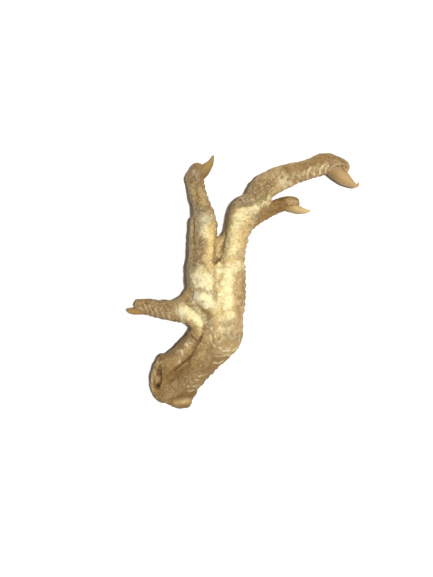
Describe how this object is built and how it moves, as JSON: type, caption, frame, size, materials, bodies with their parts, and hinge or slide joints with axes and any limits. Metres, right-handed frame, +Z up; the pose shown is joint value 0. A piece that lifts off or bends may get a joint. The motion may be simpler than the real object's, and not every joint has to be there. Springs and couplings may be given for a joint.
{
  "type": "chicken foot",
  "caption": "Raw chicken foot cut at the hock, lying on its side with spread, scaly toes, horn claws and a loose cuff of skin round the cut end of the shank.",
  "frame": {"origin": "centre of the overall box in plan, at the table the foot lies on", "axes": "+Z up off the table; +Y from the shank towards the toes; +X towards the side the middle toe bends to"},
  "size_m": [0.098, 0.1082, 0.0207],
  "materials": {
    "skin": "dry, scaly, matt",
    "horn": "smooth, satin, slightly clear",
    "gristle": "smooth, low shine, slightly clear"
  },
  "bodies": {
    "root": {"foot": "skin", "claw_middle": "horn", "claw_inner": "horn", "claw_outer": "horn", "claw_hind": "horn", "hock_gristle": "gristle"}
  },
  "joints": []
}
